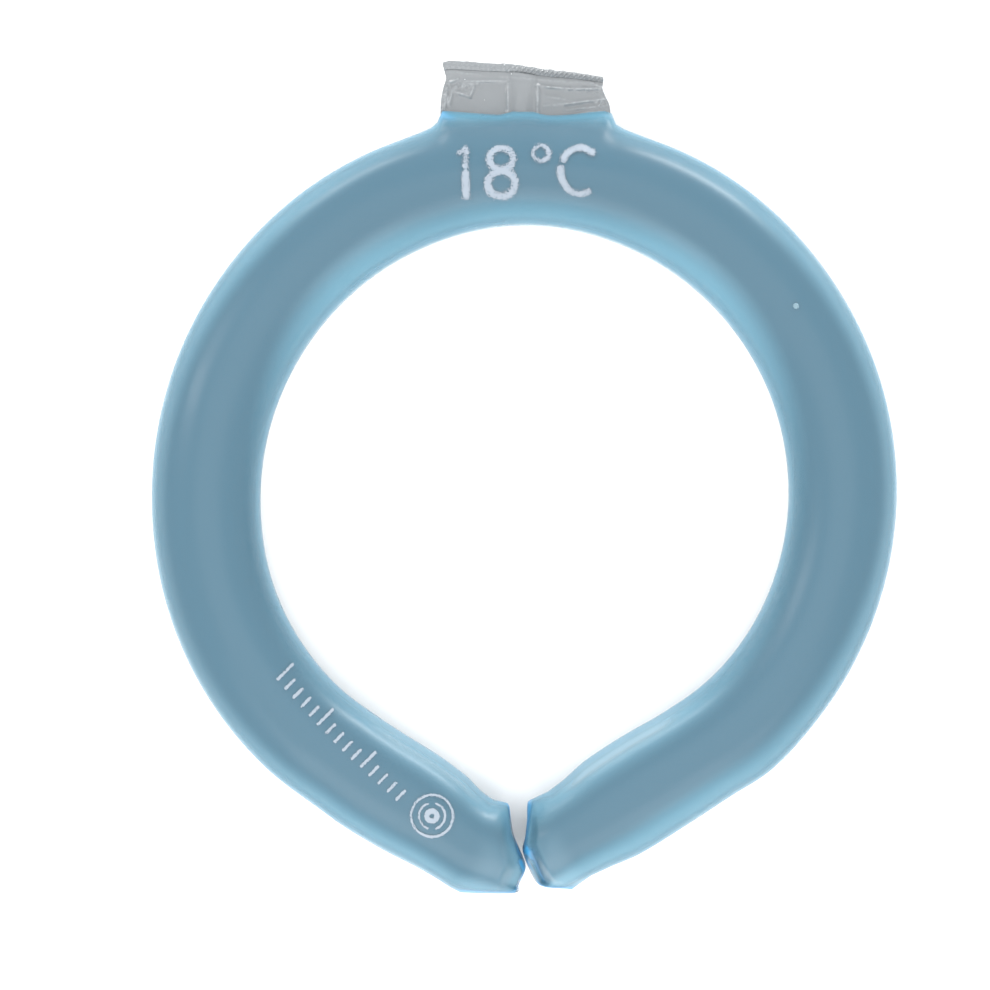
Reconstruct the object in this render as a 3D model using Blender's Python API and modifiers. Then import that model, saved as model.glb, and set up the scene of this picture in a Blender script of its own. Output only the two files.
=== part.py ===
# Cooling neck ring, lying flat: a hollow urethane tube bent into a C and filled with cooling gel,
# with a clear filling tab at the nape and two pinched ends that meet at the throat.
# Metres, +Z up. +Y points to the tab, and the ring lies on its side on z = 0.

import math
from collections import namedtuple

import bmesh
import bpy
from mathutils import Vector

# Ring and tube
NECK_RADIUS = 0.0634      # inside of the round part, where the neck goes
TUBE_WIDTH = 0.0260       # seen from above
TUBE_HEIGHT = 0.0240      # as it lies
WALL = 0.0010             # urethane skin
FIT_GAP = 0.0003          # between pieces that touch

# Ends at the throat
END_DROP = 0.0068         # how far the ends reach past the round outside
THROAT_GAP = 0.0005       # between the two ends where they meet
THROAT_SHIFT = -0.0006    # they meet this far to the right of the middle, so to the left if negative
LEFT_ARM_ANGLE = math.radians(33.0)    # where the left arm leaves the circle, from the throat
RIGHT_ARM_ANGLE = math.radians(42.0)   # the right arm leaves it earlier
END_BLUNTNESS = 3.2       # exponent of the roll-off at each end, 2 for a half round

# Filling tab at the nape
SEAM_RISE = 0.0011        # tab's root above the round outside
TAB_WIDTH = 0.0408
TAB_SHIFT = 0.0003        # the tab's middle is this far to the right of the ring's
TAB_HEIGHT = 0.0127       # root to the highest point of the seal strip
TAB_THICKNESS = 0.0016    # two films welded flat
CHANNEL_WIDTH = 0.0070    # filling channel between the two weld pads
CHANNEL_EDGE = 0.0005     # welded edge on each side of its bore
CHANNEL_BORE = 0.0008     # the bore's height
CHANNEL_BULGE = 0.0005    # how far it swells past each film
SEAL_HEIGHT = 0.0021      # crimped strip across the tab's top
CRIMP_DEPTH = 0.0003      # on each side of the strip
CRIMP_PITCH = 0.0016

# Mesh fineness
SIDES = 20                # facets round the tube, a multiple of four
ARC_STEP = math.radians(7.5)
CAP_SHARES = (0.3, 0.55, 0.75, 0.9, 0.97, 1.0)   # loops from the end section to the pinched edge
PAD_SHARES = (0.0, 0.1, 0.2, 0.32)               # columns of the tab from its side to the channel
RISE_SHARES = (0.0, 0.3, 0.6, 0.85, 1.0)         # points of a column from the root to the strip
WEDGE_POWER = 2.2         # how sharply the tube tapers towards the tab
SEAM_DRAW = 4             # how closely to the seam the tube is drawn out to it

TUBE_HALF = TUBE_WIDTH / 2
HALF_HEIGHT = TUBE_HEIGHT / 2
OUTER_RADIUS = NECK_RADIUS + TUBE_WIDTH
END_REACH = OUTER_RADIUS + END_DROP
SEAM_REACH = OUTER_RADIUS + SEAM_RISE
TAB_ROOT = SEAM_REACH + FIT_GAP
TAB_REACH = TAB_ROOT + TAB_HEIGHT
TAB_HALF = TAB_WIDTH / 2
EDGE_HALF = WALL + FIT_GAP        # half the thickness left where the ends are pinched
SEAM_HALF = TAB_THICKNESS / 2     # the same at the tab's root
RING_CENTRE = Vector((0.0, (END_REACH - TAB_REACH) / 2, HALF_HEIGHT))

# Plan points are measured from the ring's centre. Lengths in the tables are shares.
# Swells are shares of the tube's half width, outside the plain circles. Degrees run from the tab to +X.
RoundRow = namedtuple("RoundRow", "turn_deg inner_swell outer_swell")
# Arms: swells outside a straight line from the circle to the end section.
ArmRow = namedtuple("ArmRow", "along inner_swell outer_swell")
# Ends: across runs from -1 on the inside to 1 on the outside; off_middle and above_base are shares
# of the tube's width, and lift is how far the pinched edge bends up, as a share of the half height.
EndRow = namedtuple("EndRow", "across off_middle above_base lift", defaults=(0.0,))
# Shoulders: out is a share of the tab's half width; rise runs from the round outside to the seam.
NeckRow = namedtuple("NeckRow", "out rise pinch")
# Tab outline: insets are shares of the tab's width, drops are shares of its height.
SideRow = namedtuple("SideRow", "up left_inset right_inset")
TopRow = namedtuple("TopRow", "along drop")

ROUND = (
    RoundRow(-150, -0.08, 0.09),
    RoundRow(-135, -0.09, 0.10),
    RoundRow(-115, -0.07, 0.07),
    RoundRow(-90, 0.01, 0.00),
    RoundRow(-60, 0.05, -0.01),
    RoundRow(-30, 0.02, 0.01),
    RoundRow(0, -0.04, 0.00),
    RoundRow(30, -0.01, 0.05),
    RoundRow(60, 0.00, 0.02),
    RoundRow(90, 0.00, 0.00),
    RoundRow(120, 0.00, -0.02),
    RoundRow(150, 0.03, -0.03),
)
LEFT_ARM = (
    ArmRow(0.00, -0.07, 0.09),
    ArmRow(0.22, -0.04, 0.12),
    ArmRow(0.50, 0.02, 0.09),
    ArmRow(0.75, 0.02, 0.02),
    ArmRow(0.90, -0.04, 0.00),
    ArmRow(1.00, -0.04, 0.00),
)
RIGHT_ARM = (
    ArmRow(0.00, 0.03, -0.01),
    ArmRow(0.25, 0.02, 0.04),
    ArmRow(0.50, 0.08, 0.09),
    ArmRow(0.75, 0.09, 0.11),
    ArmRow(0.90, 0.02, 0.04),
    ArmRow(1.00, 0.00, 0.00),
)
LEFT_BASE = (EndRow(-1, 0.25, 0.88), EndRow(1, 0.65, 0.05))
LEFT_END = (
    EndRow(-1.00, 0.122, 0.829),
    EndRow(-0.90, 0.104, 0.792),
    EndRow(-0.72, 0.090, 0.672),
    EndRow(-0.46, 0.062, 0.524),
    EndRow(-0.16, 0.003, 0.386),
    EndRow(0.16, -0.045, 0.238),
    EndRow(0.46, 0.018, 0.077),
    EndRow(0.72, 0.048, 0.005),
    EndRow(0.90, 0.330, 0.000),
    EndRow(1.00, 0.561, 0.006),
)
RIGHT_BASE = (EndRow(-1, 0.24, 0.94), EndRow(1, 0.63, 0.16))
RIGHT_END = (
    EndRow(-1.00, 0.080, 0.861),
    EndRow(-0.90, 0.043, 0.827, 0.03),
    EndRow(-0.72, 0.038, 0.672, 0.06),
    EndRow(-0.46, 0.020, 0.515, 0.08),
    EndRow(-0.16, -0.002, 0.395, -0.10),
    EndRow(0.16, 0.050, 0.229, -0.40),
    EndRow(0.46, 0.122, 0.090, -0.40),
    EndRow(0.72, 0.205, 0.053, -0.12),
    EndRow(0.90, 0.343, 0.044),
    EndRow(1.00, 0.454, 0.035),
)
NECK = (
    NeckRow(0.50, 1.00, 1.00),
    NeckRow(0.80, 1.00, 0.95),
    NeckRow(1.00, 1.00, 0.84),
    NeckRow(1.03, 0.50, 0.80),
    NeckRow(1.12, 0.25, 0.68),
    NeckRow(1.26, 0.12, 0.46),
    NeckRow(1.48, 0.04, 0.20),
    NeckRow(1.80, 0.00, 0.00),
)
TAB_SIDES = (
    SideRow(0.00, 0.000, 0.000),
    SideRow(0.25, 0.003, 0.009),
    SideRow(0.48, 0.015, 0.032),
    SideRow(0.68, 0.032, 0.048),
    SideRow(0.80, 0.024, 0.044),
    SideRow(0.96, 0.012, 0.042),
    SideRow(1.00, 0.017, 0.048),
)
TAB_TOP = (
    TopRow(0.00, 0.02),
    TopRow(0.05, 0.00),
    TopRow(0.30, 0.05),
    TopRow(0.45, 0.07),
    TopRow(0.55, 0.12),
    TopRow(0.67, 0.17),
    TopRow(0.80, 0.21),
    TopRow(1.00, 0.30),
)


def mix(a, b, share):
    return a + (b - a) * share


def read(rows, key, column, place):
    """Reads one column of a table at a place between its rows."""
    for low, high in zip(rows, rows[1:]):
        if place <= getattr(high, key):
            share = (place - getattr(low, key)) / (getattr(high, key) - getattr(low, key))
            return mix(getattr(low, column), getattr(high, column), max(share, 0.0))
    return getattr(rows[-1], column)


# Plan geometry


def on_circle(angle, radius):
    """A plan point at an angle from the tab, turning towards +X."""
    return Vector((math.sin(angle) * radius, math.cos(angle) * radius))


def end_point(row, side):
    """A plan point of an end table, on the side of its sign."""
    off = THROAT_GAP / 2 + row.off_middle * TUBE_WIDTH
    return Vector((THROAT_SHIFT + side * off, row.above_base * TUBE_WIDTH - END_REACH))


def round_radii(angle):
    """The inner and outer radius of the tube at an angle, with its slight swells."""
    turn = math.degrees(angle)
    inner = NECK_RADIUS - read(ROUND, "turn_deg", "inner_swell", turn) * TUBE_HALF
    outer = OUTER_RADIUS + read(ROUND, "turn_deg", "outer_swell", turn) * TUBE_HALF
    return inner, outer


def straight(inner, outer):
    """Plan points across a straight section, by across from -1 to 1."""
    return lambda across: mix(inner, outer, (across + 1) / 2)


# Sections: loops of points round the tube


def section(plan, height, pinch=0.0, flatten=0.0, bend=None):
    """One loop. pinch tapers its outer half to the seam, flatten thins it all to the pinched edge,
    and bend gives how far its middle is lifted at each place across."""
    exact = math.cos(math.pi / SIDES)
    loop = []
    for k in range(SIDES):
        turn = 2 * math.pi * (k + 0.5) / SIDES
        across = math.cos(turn) / exact
        lift = abs(math.sin(turn)) / exact
        half = height * lift
        if across > 0:
            wedge = SEAM_HALF + (height - SEAM_HALF) * lift ** WEDGE_POWER
            half = mix(half, wedge, pinch)
        half = mix(half, EDGE_HALF, flatten)
        point = plan(across)
        middle = bend(across) if bend else 0.0
        loop.append(Vector((point.x, point.y, middle + math.copysign(half, math.sin(turn)))))
    return loop


def arm_sections(arm, base, leave_angle, side):
    """Loops from the circle down to the end section, on the side of the sign."""
    start = side * (math.pi - leave_angle)
    inner_start = on_circle(start, NECK_RADIUS)
    outer_start = on_circle(start, OUTER_RADIUS)
    inner_end, outer_end = (end_point(row, side) for row in base)
    loops = []
    for row in arm:
        inner = mix(inner_start, inner_end, row.along)
        outer = mix(outer_start, outer_end, row.along)
        out = (outer - inner).normalized() * TUBE_HALF
        loops.append(section(straight(inner - out * row.inner_swell, outer + out * row.outer_swell),
                             HALF_HEIGHT))
    return loops


def cap_sections(base, end, side):
    """Loops that roll off from the end section to the pinched edge."""
    base_line = straight(*(end_point(row, side) for row in base))

    def end_line(across):
        row = EndRow(across, read(end, "across", "off_middle", across),
                     read(end, "across", "above_base", across))
        return end_point(row, side)

    loops = []
    for share in CAP_SHARES:
        roll = (1 - share ** END_BLUNTNESS) ** (1 / END_BLUNTNESS)
        loops.append(section(
            lambda across: mix(base_line(across), end_line(across), share), HALF_HEIGHT,
            flatten=1 - roll,
            bend=lambda across: read(end, "across", "lift", across) * HALF_HEIGHT * (1 - roll)))
    return loops


def ring_section(angle, rise=0.0, pinch=0.0):
    """A loop on the round part. rise draws its outermost part up to the tab's seam."""
    inner, outer = round_radii(angle)
    flank = straight(on_circle(angle, inner), on_circle(angle, outer))
    climb = on_circle(angle, rise * (SEAM_REACH / math.cos(angle) - outer)) if rise else Vector((0, 0))
    return section(lambda across: flank(across) + climb * max(across, 0.0) ** SEAM_DRAW,
                   HALF_HEIGHT, pinch)


def ring_sections():
    """Loops of the round part from left to right, and the places of those that bound the port."""
    channel = math.atan2(CHANNEL_WIDTH / 2, SEAM_REACH)
    rows = [(0.0, 1.0, 1.0), (channel, 1.0, 1.0), (-channel, 1.0, 1.0)]
    for row in NECK:
        angle = math.atan2(row.out * TAB_HALF, SEAM_REACH)
        rows += [(angle, row.rise, row.pinch), (-angle, row.rise, row.pinch)]
    clear = max(angle for angle, rise, pinch in rows) + ARC_STEP / 3
    first = LEFT_ARM_ANGLE - math.pi
    last = math.pi - RIGHT_ARM_ANGLE
    steps = math.ceil(math.pi / ARC_STEP)
    for k in range(-steps, steps + 1):
        angle = k * ARC_STEP
        if abs(angle) > clear and first + ARC_STEP / 3 < angle < last - ARC_STEP / 3:
            rows.append((angle, 0.0, 0.0))
    rows.sort()
    places = [i for i, (angle, rise, pinch) in enumerate(rows) if -channel <= angle < channel]
    return [ring_section(*row) for row in rows], places


# Meshes


def loft(loops, port=()):
    """A tube through the loops, closed at both ends, left open at its outermost side at the port."""
    mesh = bmesh.new()
    rings = [[mesh.verts.new(point) for point in loop] for loop in loops]
    for i, (near, far) in enumerate(zip(rings, rings[1:])):
        for k in range(SIDES):
            j = (k + 1) % SIDES
            if i in port and k == SIDES - 1:
                continue
            mesh.faces.new((near[k], near[j], far[j], far[k]))
    for ring in (rings[0], rings[-1]):
        for k in range(SIDES // 2 - 1):
            mesh.faces.new((ring[k], ring[k + 1], ring[SIDES - 2 - k], ring[SIDES - 1 - k]))
    bmesh.ops.recalc_face_normals(mesh, faces=mesh.faces)
    return mesh


def plate(columns):
    """A thin closed plate from columns of (x, y, half thickness), all with as many points."""
    mesh = bmesh.new()
    top = [[mesh.verts.new((x, y, half)) for x, y, half in column] for column in columns]
    bottom = [[mesh.verts.new((x, y, -half)) for x, y, half in column] for column in columns]
    rows = len(columns[0])
    for i in range(len(columns) - 1):
        for j in range(rows - 1):
            for face in (top, bottom):
                mesh.faces.new((face[i][j], face[i + 1][j], face[i + 1][j + 1], face[i][j + 1]))
        for j in (0, rows - 1):
            mesh.faces.new((top[i][j], top[i + 1][j], bottom[i + 1][j], bottom[i][j]))
    for i in (0, len(columns) - 1):
        for j in range(rows - 1):
            mesh.faces.new((top[i][j], top[i][j + 1], bottom[i][j + 1], bottom[i][j]))
    bmesh.ops.recalc_face_normals(mesh, faces=mesh.faces)
    return mesh


def collection(name):
    made = bpy.data.collections.new(name)
    bpy.context.scene.collection.children.link(made)
    return made


def material(name, colour, roughness, alpha=1.0):
    made = bpy.data.materials.new(name)
    made.use_nodes = True
    shader = made.node_tree.nodes["Principled BSDF"]
    shader.inputs["Base Color"].default_value = (*colour, 1.0)
    shader.inputs["Roughness"].default_value = roughness
    shader.inputs["Metallic"].default_value = 0.0
    shader.inputs["Alpha"].default_value = alpha
    return made


def place(name, mesh, home, look=None):
    """Turns a bmesh measured from the ring's centre into a named object at its place."""
    data = bpy.data.meshes.new(name)
    mesh.to_mesh(data)
    mesh.free()
    made = bpy.data.objects.new(name, data)
    made.location = RING_CENTRE
    home.objects.link(made)
    if look:
        data.materials.append(look)
    return made


# Pieces


def tube_loops():
    round_part, port = ring_sections()
    left_arm = arm_sections(LEFT_ARM, LEFT_BASE, LEFT_ARM_ANGLE, -1)
    left_cap = cap_sections(LEFT_BASE, LEFT_END, -1)
    right_arm = arm_sections(RIGHT_ARM, RIGHT_BASE, RIGHT_ARM_ANGLE, 1)
    right_cap = cap_sections(RIGHT_BASE, RIGHT_END, 1)
    left = (left_arm + left_cap)[::-1]
    return left + round_part + right_arm + right_cap, [len(left) + i for i in port]


def tube_skin(home):
    """The hollow skin. Its only opening is the port into the filling channel."""
    loops, port = tube_loops()
    clear = material("clear_urethane", (0.62, 0.80, 0.90), 0.42, 0.5)
    skin = place("tube_skin", loft(loops, port), home, clear)
    skin.data.shade_smooth()
    wall = skin.modifiers.new("wall", "SOLIDIFY")
    wall.thickness = WALL
    wall.offset = -1.0
    wall.use_rim = True


def cooling_gel(home):
    """The gel that fills the skin."""
    loops, port = tube_loops()
    blue = material("blue_gel", (0.16, 0.42, 0.62), 0.3)
    gel = place("cooling_gel", loft(loops), home, blue)
    gel.data.shade_smooth()
    inset = gel.modifiers.new("inside_the_wall", "DISPLACE")
    inset.direction = "NORMAL"
    inset.mid_level = 0.0
    inset.strength = -(WALL + FIT_GAP)


def tab_point(along, up):
    """A plan point of the tab, with along and up from 0 to 1."""
    left = read(TAB_SIDES, "up", "left_inset", up) * TAB_WIDTH - TAB_HALF
    right = TAB_HALF - read(TAB_SIDES, "up", "right_inset", up) * TAB_WIDTH
    return TAB_SHIFT + mix(left, right, along), TAB_ROOT + up * tab_height(along)


def tab_height(along):
    return TAB_HEIGHT * (1 - read(TAB_TOP, "along", "drop", along))


def seal_start(along):
    """Where the seal strip begins, as a share of the tab's height there."""
    return 1 - SEAL_HEIGHT / tab_height(along)


def tab_columns():
    """Places across the tab, with how far the channel swells there."""
    edge = CHANNEL_WIDTH / 2 / TAB_WIDTH
    side = [(along, 0.0) for along in (*PAD_SHARES, 0.5 - edge)] + [(0.5 - edge / 2, 0.75)]
    return side + [(0.5, 1.0)] + [(1 - along, swell) for along, swell in reversed(side)]


def fill_tab(home, cutters):
    """Two films welded flat in two pads, with the filling channel open between them."""
    columns = []
    for along, swell in tab_columns():
        top = seal_start(along) - FIT_GAP / tab_height(along)
        half = TAB_THICKNESS / 2 + swell * CHANNEL_BULGE
        columns.append([(*tab_point(along, top * share), half) for share in RISE_SHARES])
    film = material("clear_film", (0.62, 0.65, 0.68), 0.35, 0.7)
    tab = place("fill_tab", plate(columns), home, film)

    bore = bmesh.new()
    bmesh.ops.create_cube(bore, size=1.0)
    size = Vector((CHANNEL_WIDTH - 2 * CHANNEL_EDGE, TAB_HEIGHT * 2, CHANNEL_BORE))
    bmesh.ops.scale(bore, vec=size, verts=bore.verts)
    bmesh.ops.translate(bore, vec=(0.0, TAB_ROOT + TAB_HEIGHT / 2, 0.0), verts=bore.verts)
    cutter = place("channel_cutter", bore, cutters)
    cutter.hide_render = True
    cutter.display_type = "WIRE"
    cut = tab.modifiers.new("filling_channel", "BOOLEAN")
    cut.operation = "DIFFERENCE"
    cut.object = cutter


def seal_strip(home):
    """The crimped strip that closes the channel's top, with upright ribs."""
    ribs = max(2 * round(TAB_WIDTH / CRIMP_PITCH), 4)
    columns = []
    for k in range(ribs + 1):
        along = k / ribs
        half = TAB_THICKNESS / 2 - CRIMP_DEPTH * (k % 2)
        start = seal_start(along)
        columns.append([(*tab_point(along, mix(start, 1.0, share)), half) for share in (0.0, 0.5, 1.0)])
    crimped = material("crimped_film", (0.50, 0.53, 0.56), 0.55, 0.85)
    place("seal_strip", plate(columns), home, crimped)


def build():
    for old in list(bpy.data.objects):
        bpy.data.objects.remove(old)
    home = collection("cooling_neck_ring")
    cutters = collection("cutters")
    tube_skin(home)
    cooling_gel(home)
    fill_tab(home, cutters)
    seal_strip(home)


build()
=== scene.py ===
# Looks of the cooling neck ring: frosted tube, blue gel, crumpled filling tab and worn white print.
# The ring lies flat and is seen from straight above. Metres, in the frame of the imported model.

import bisect
import math

import bmesh
import bpy
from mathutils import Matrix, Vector, noise
from mathutils.bvhtree import BVHTree


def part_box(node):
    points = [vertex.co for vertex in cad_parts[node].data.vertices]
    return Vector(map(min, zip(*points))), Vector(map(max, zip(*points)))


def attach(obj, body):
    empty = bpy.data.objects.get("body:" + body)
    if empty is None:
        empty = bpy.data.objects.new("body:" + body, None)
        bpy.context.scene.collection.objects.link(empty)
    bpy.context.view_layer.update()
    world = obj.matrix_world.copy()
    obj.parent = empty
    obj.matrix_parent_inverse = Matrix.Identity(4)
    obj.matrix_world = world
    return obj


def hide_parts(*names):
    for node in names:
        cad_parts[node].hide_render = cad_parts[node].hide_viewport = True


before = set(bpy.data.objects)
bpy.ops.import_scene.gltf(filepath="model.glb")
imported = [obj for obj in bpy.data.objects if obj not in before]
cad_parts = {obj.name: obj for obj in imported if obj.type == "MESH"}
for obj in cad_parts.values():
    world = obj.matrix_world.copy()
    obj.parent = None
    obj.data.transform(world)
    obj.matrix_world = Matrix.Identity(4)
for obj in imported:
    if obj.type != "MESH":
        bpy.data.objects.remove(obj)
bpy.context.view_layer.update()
print("frame loaded:", ", ".join(sorted(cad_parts)))

# Small helpers that every piece uses


def mix(a, b, share):
    return a + (b - a) * share


def clamp(value, low=0.0, high=1.0):
    return max(low, min(high, value))


def ease(value):
    value = clamp(value)
    return value * value * (3 - 2 * value)


def spline(keys, values, at):
    # a smooth curve through the values, which are numbers or vectors
    at = clamp(at, keys[0], keys[-1])
    i = min(max(bisect.bisect_right(keys, at) - 1, 0), len(keys) - 2)
    gap = keys[i + 1] - keys[i]

    def slope(j):
        low = max(j - 1, 0)
        high = min(j + 1, len(keys) - 1)
        return (values[high] - values[low]) / (keys[high] - keys[low])

    u = (at - keys[i]) / gap
    return (values[i] * (2 * u ** 3 - 3 * u ** 2 + 1) + slope(i) * (gap * (u ** 3 - 2 * u ** 2 + u))
            + values[i + 1] * (3 * u ** 2 - 2 * u ** 3) + slope(i + 1) * (gap * (u ** 3 - u ** 2)))


def column(rows, key, at):
    return spline([row["at"] for row in rows], [row[key] for row in rows], at)


def table(names, *rows):
    # rows of numbers with named columns, the first of which is where the row sits
    return [dict(zip(["at"] + names.split(), row)) for row in rows]


def makeObject(name, mesh, material, smooth=True):
    data = bpy.data.meshes.new(name)
    mesh.to_mesh(data)
    mesh.free()
    if smooth:
        data.shade_smooth()
    made = bpy.data.objects.new(name, data)
    bpy.context.scene.collection.objects.link(made)
    data.materials.append(material)
    return made


# Shared shader effects, each a node group with named sockets


def newGroup(name, inputs, outputs):
    group = bpy.data.node_groups.new(name, "ShaderNodeTree")
    for label, kind, value in inputs:
        group.interface.new_socket(label, in_out="INPUT", socket_type=kind).default_value = value
    for label, kind in outputs:
        group.interface.new_socket(label, in_out="OUTPUT", socket_type=kind)
    entry = group.nodes.new("NodeGroupInput")
    leave = group.nodes.new("NodeGroupOutput")
    return group, entry, leave


def addNode(tree, kind, **inputs):
    node = tree.nodes.new(kind)
    for key, value in inputs.items():
        socket = node.inputs[key.replace("_", " ")]
        if isinstance(value, bpy.types.NodeSocket):
            tree.links.new(value, socket)
        else:
            socket.default_value = value
    return node


def readAttribute(tree, name):
    # a value that is stored at each point of the mesh
    node = tree.nodes.new("ShaderNodeAttribute")
    node.attribute_name = name
    return node.outputs["Fac"]


def mathNode(tree, operation, a, b=None):
    node = tree.nodes.new("ShaderNodeMath")
    node.operation = operation
    for socket, value in zip(node.inputs, (a, b)):
        if isinstance(value, bpy.types.NodeSocket):
            tree.links.new(value, socket)
        elif value is not None:
            socket.default_value = value
    return node.outputs[0]


def rangeNode(tree, value, fromLow, fromHigh, toLow=0.0, toHigh=1.0):
    node = tree.nodes.new("ShaderNodeMapRange")
    node.interpolation_type = "SMOOTHSTEP"
    for key, given in (("Value", value), ("From Min", fromLow), ("From Max", fromHigh),
                       ("To Min", toLow), ("To Max", toHigh)):
        if isinstance(given, bpy.types.NodeSocket):
            tree.links.new(given, node.inputs[key])
        else:
            node.inputs[key].default_value = given
    return node.outputs["Result"]


def makeFrostGroup():
    # matt grain of the film, as a roughness and a height
    group, entry, leave = newGroup(
        "frostGrain",
        [("Grain Size", "NodeSocketFloat", 0.0004), ("Patch Size", "NodeSocketFloat", 0.03),
         ("Low", "NodeSocketFloat", 0.3), ("High", "NodeSocketFloat", 0.45)],
        [("Roughness", "NodeSocketFloat"), ("Height", "NodeSocketFloat")])
    place = addNode(group, "ShaderNodeTexCoord").outputs["Object"]
    fine = addNode(group, "ShaderNodeTexNoise", Vector=place, Detail=3.0,
                   Scale=mathNode(group, "DIVIDE", 1.0, entry.outputs["Grain Size"]))
    patch = addNode(group, "ShaderNodeTexNoise", Vector=place, Detail=2.0,
                    Scale=mathNode(group, "DIVIDE", 1.0, entry.outputs["Patch Size"]))
    rough = rangeNode(group, patch.outputs["Fac"], 0.35, 0.65, entry.outputs["Low"], entry.outputs["High"])
    group.links.new(rough, leave.inputs["Roughness"])
    group.links.new(fine.outputs["Fac"], leave.inputs["Height"])
    return group


def makeSpeckGroup():
    # sparse small dots: dust on the film and chips in the ink
    group, entry, leave = newGroup(
        "specks",
        [("Spacing", "NodeSocketFloat", 0.004), ("Dot Size", "NodeSocketFloat", 0.06),
         ("Share", "NodeSocketFloat", 0.3)],
        [("Mask", "NodeSocketFloat")])
    place = addNode(group, "ShaderNodeTexCoord").outputs["Object"]
    scale = mathNode(group, "DIVIDE", 1.0, entry.outputs["Spacing"])
    cells = addNode(group, "ShaderNodeTexVoronoi", Vector=place, Scale=scale)
    dot = mathNode(group, "LESS_THAN", cells.outputs["Distance"], entry.outputs["Dot Size"])
    draw = addNode(group, "ShaderNodeSeparateColor", Color=cells.outputs["Color"]).outputs["Red"]
    pick = mathNode(group, "LESS_THAN", draw, entry.outputs["Share"])
    group.links.new(mathNode(group, "MULTIPLY", dot, pick), leave.inputs["Mask"])
    return group


frostGroup = makeFrostGroup()
speckGroup = makeSpeckGroup()


def useGroup(tree, group, **inputs):
    node = tree.nodes.new("ShaderNodeGroup")
    node.node_tree = group
    for key, value in inputs.items():
        node.inputs[key.replace("_", " ")].default_value = value
    return node


def newMaterial(name):
    made = bpy.data.materials.new(name)
    made.use_nodes = True
    tree = made.node_tree
    return made, tree, tree.nodes["Principled BSDF"]


def mixColour(tree, mask, low, high):
    node = tree.nodes.new("ShaderNodeMix")
    node.data_type = "RGBA"
    for socket, value in ((node.inputs["Factor"], mask), (node.inputs["A"], low), (node.inputs["B"], high)):
        if isinstance(value, bpy.types.NodeSocket):
            tree.links.new(value, socket)
        else:
            socket.default_value = value if isinstance(value, float) else (*value, 1.0)
    return node.outputs["Result"]


print("shared effects ready")

# Tube: where it runs, as pairs of inner and outer points in plan

tube = {
    "neckRadius": 0.0634,
    "width": 0.0260,
    "height": 0.0240,
    "endDrop": 0.0068,
    "throatGap": 0.0005,
    "throatShift": -0.0006,
    "leftArmAngle": 33.0,
    "rightArmAngle": 42.0,
    "fullness": 2.12,        # exponent of the section, 2 for an ellipse
    "endBluntness": 2.7,
    "edgeHalf": 0.0009,
    "thinnest": 0.00012,     # half height of the gel where it runs out
    "gelEnd": 0.96,          # share of an end that the gel reaches
    "roundCount": 30,
    "sides": 120,
    "stationGap": 0.0014,
    "capShares": [0.03 * k for k in range(1, 30)]
                 + [0.89, 0.91, 0.93, 0.945, 0.96, 0.97, 0.98, 0.988, 0.995, 1.0],
}
tube["half"] = tube["width"] / 2
tube["halfHeight"] = tube["height"] / 2
tube["outerRadius"] = tube["neckRadius"] + tube["width"]
tube["endReach"] = tube["outerRadius"] + tube["endDrop"]

# Swells are shares of the tube's half width, places on the ends are shares of its width
roundSwells = table(
    "inner outer",
    (-150, -0.08, 0.09), (-135, -0.09, 0.10), (-115, -0.07, 0.07), (-90, 0.01, 0.00), (-60, 0.05, -0.01),
    (-30, 0.02, 0.01), (0, -0.04, 0.00), (30, -0.01, 0.05), (60, 0.00, 0.02), (90, 0.00, 0.00),
    (120, 0.00, -0.02), (150, 0.03, -0.03))
leftArm = table(
    "inner outer",
    (0.00, -0.07, 0.09), (0.22, -0.04, 0.12), (0.50, 0.02, 0.09), (0.75, 0.02, 0.02), (0.90, -0.04, 0.00),
    (1.00, -0.04, 0.00))
rightArm = table(
    "inner outer",
    (0.00, 0.03, -0.01), (0.25, 0.02, 0.04), (0.50, 0.08, 0.09), (0.75, 0.09, 0.11), (0.90, 0.02, 0.04),
    (1.00, 0.00, 0.00))
leftBase = table("off up", (-1, 0.25, 0.88), (1, 0.65, 0.05))
rightBase = table("off up", (-1, 0.24, 0.94), (1, 0.63, 0.16))
leftEnd = table(
    "off up lift facet",
    (-1.00, 0.122, 0.829, 0.10, 0.0), (-0.90, 0.104, 0.792, 0.08, 0.0), (-0.72, 0.090, 0.672, 0.05, 0.0),
    (-0.46, 0.062, 0.524, 0.00, 0.0), (-0.16, 0.003, 0.386, -0.04, 0.0), (0.16, -0.045, 0.238, -0.06, 0.2),
    (0.46, 0.018, 0.077, -0.05, 0.3), (0.72, 0.048, 0.005, 0.00, 0.1), (0.90, 0.330, 0.000, 0.02, 0.0),
    (1.00, 0.561, 0.006, 0.00, 0.0))
rightEnd = table(
    "off up lift facet",
    (-1.00, 0.080, 0.861, 0.02, 0.0), (-0.90, 0.043, 0.827, 0.04, 0.0), (-0.72, 0.038, 0.672, 0.10, 0.1),
    (-0.46, 0.020, 0.515, 0.16, 0.3), (-0.16, -0.002, 0.395, -0.06, 0.3), (0.16, 0.050, 0.229, -0.40, 1.0),
    (0.46, 0.122, 0.090, -0.42, 1.0), (0.72, 0.205, 0.053, -0.12, 0.4), (0.90, 0.343, 0.044, 0.00, 0.0),
    (1.00, 0.454, 0.035, 0.00, 0.0))

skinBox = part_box("tube_skin")
ringCentre = Vector((0.0, skinBox[0][1] + tube["endReach"], tube["halfHeight"]))
ringPixel = (524.3, 492.0)       # ring's centre in the photograph
pixel = 0.00024                  # metres that a pixel of the photograph shows
middlePixel = 495.0
cameraHeight = 1.3               # above the ring's middle
cameraPlace = Vector((ringCentre.x + (middlePixel - ringPixel[0]) * pixel,
                      ringCentre.y - (middlePixel - ringPixel[1]) * pixel))


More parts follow.
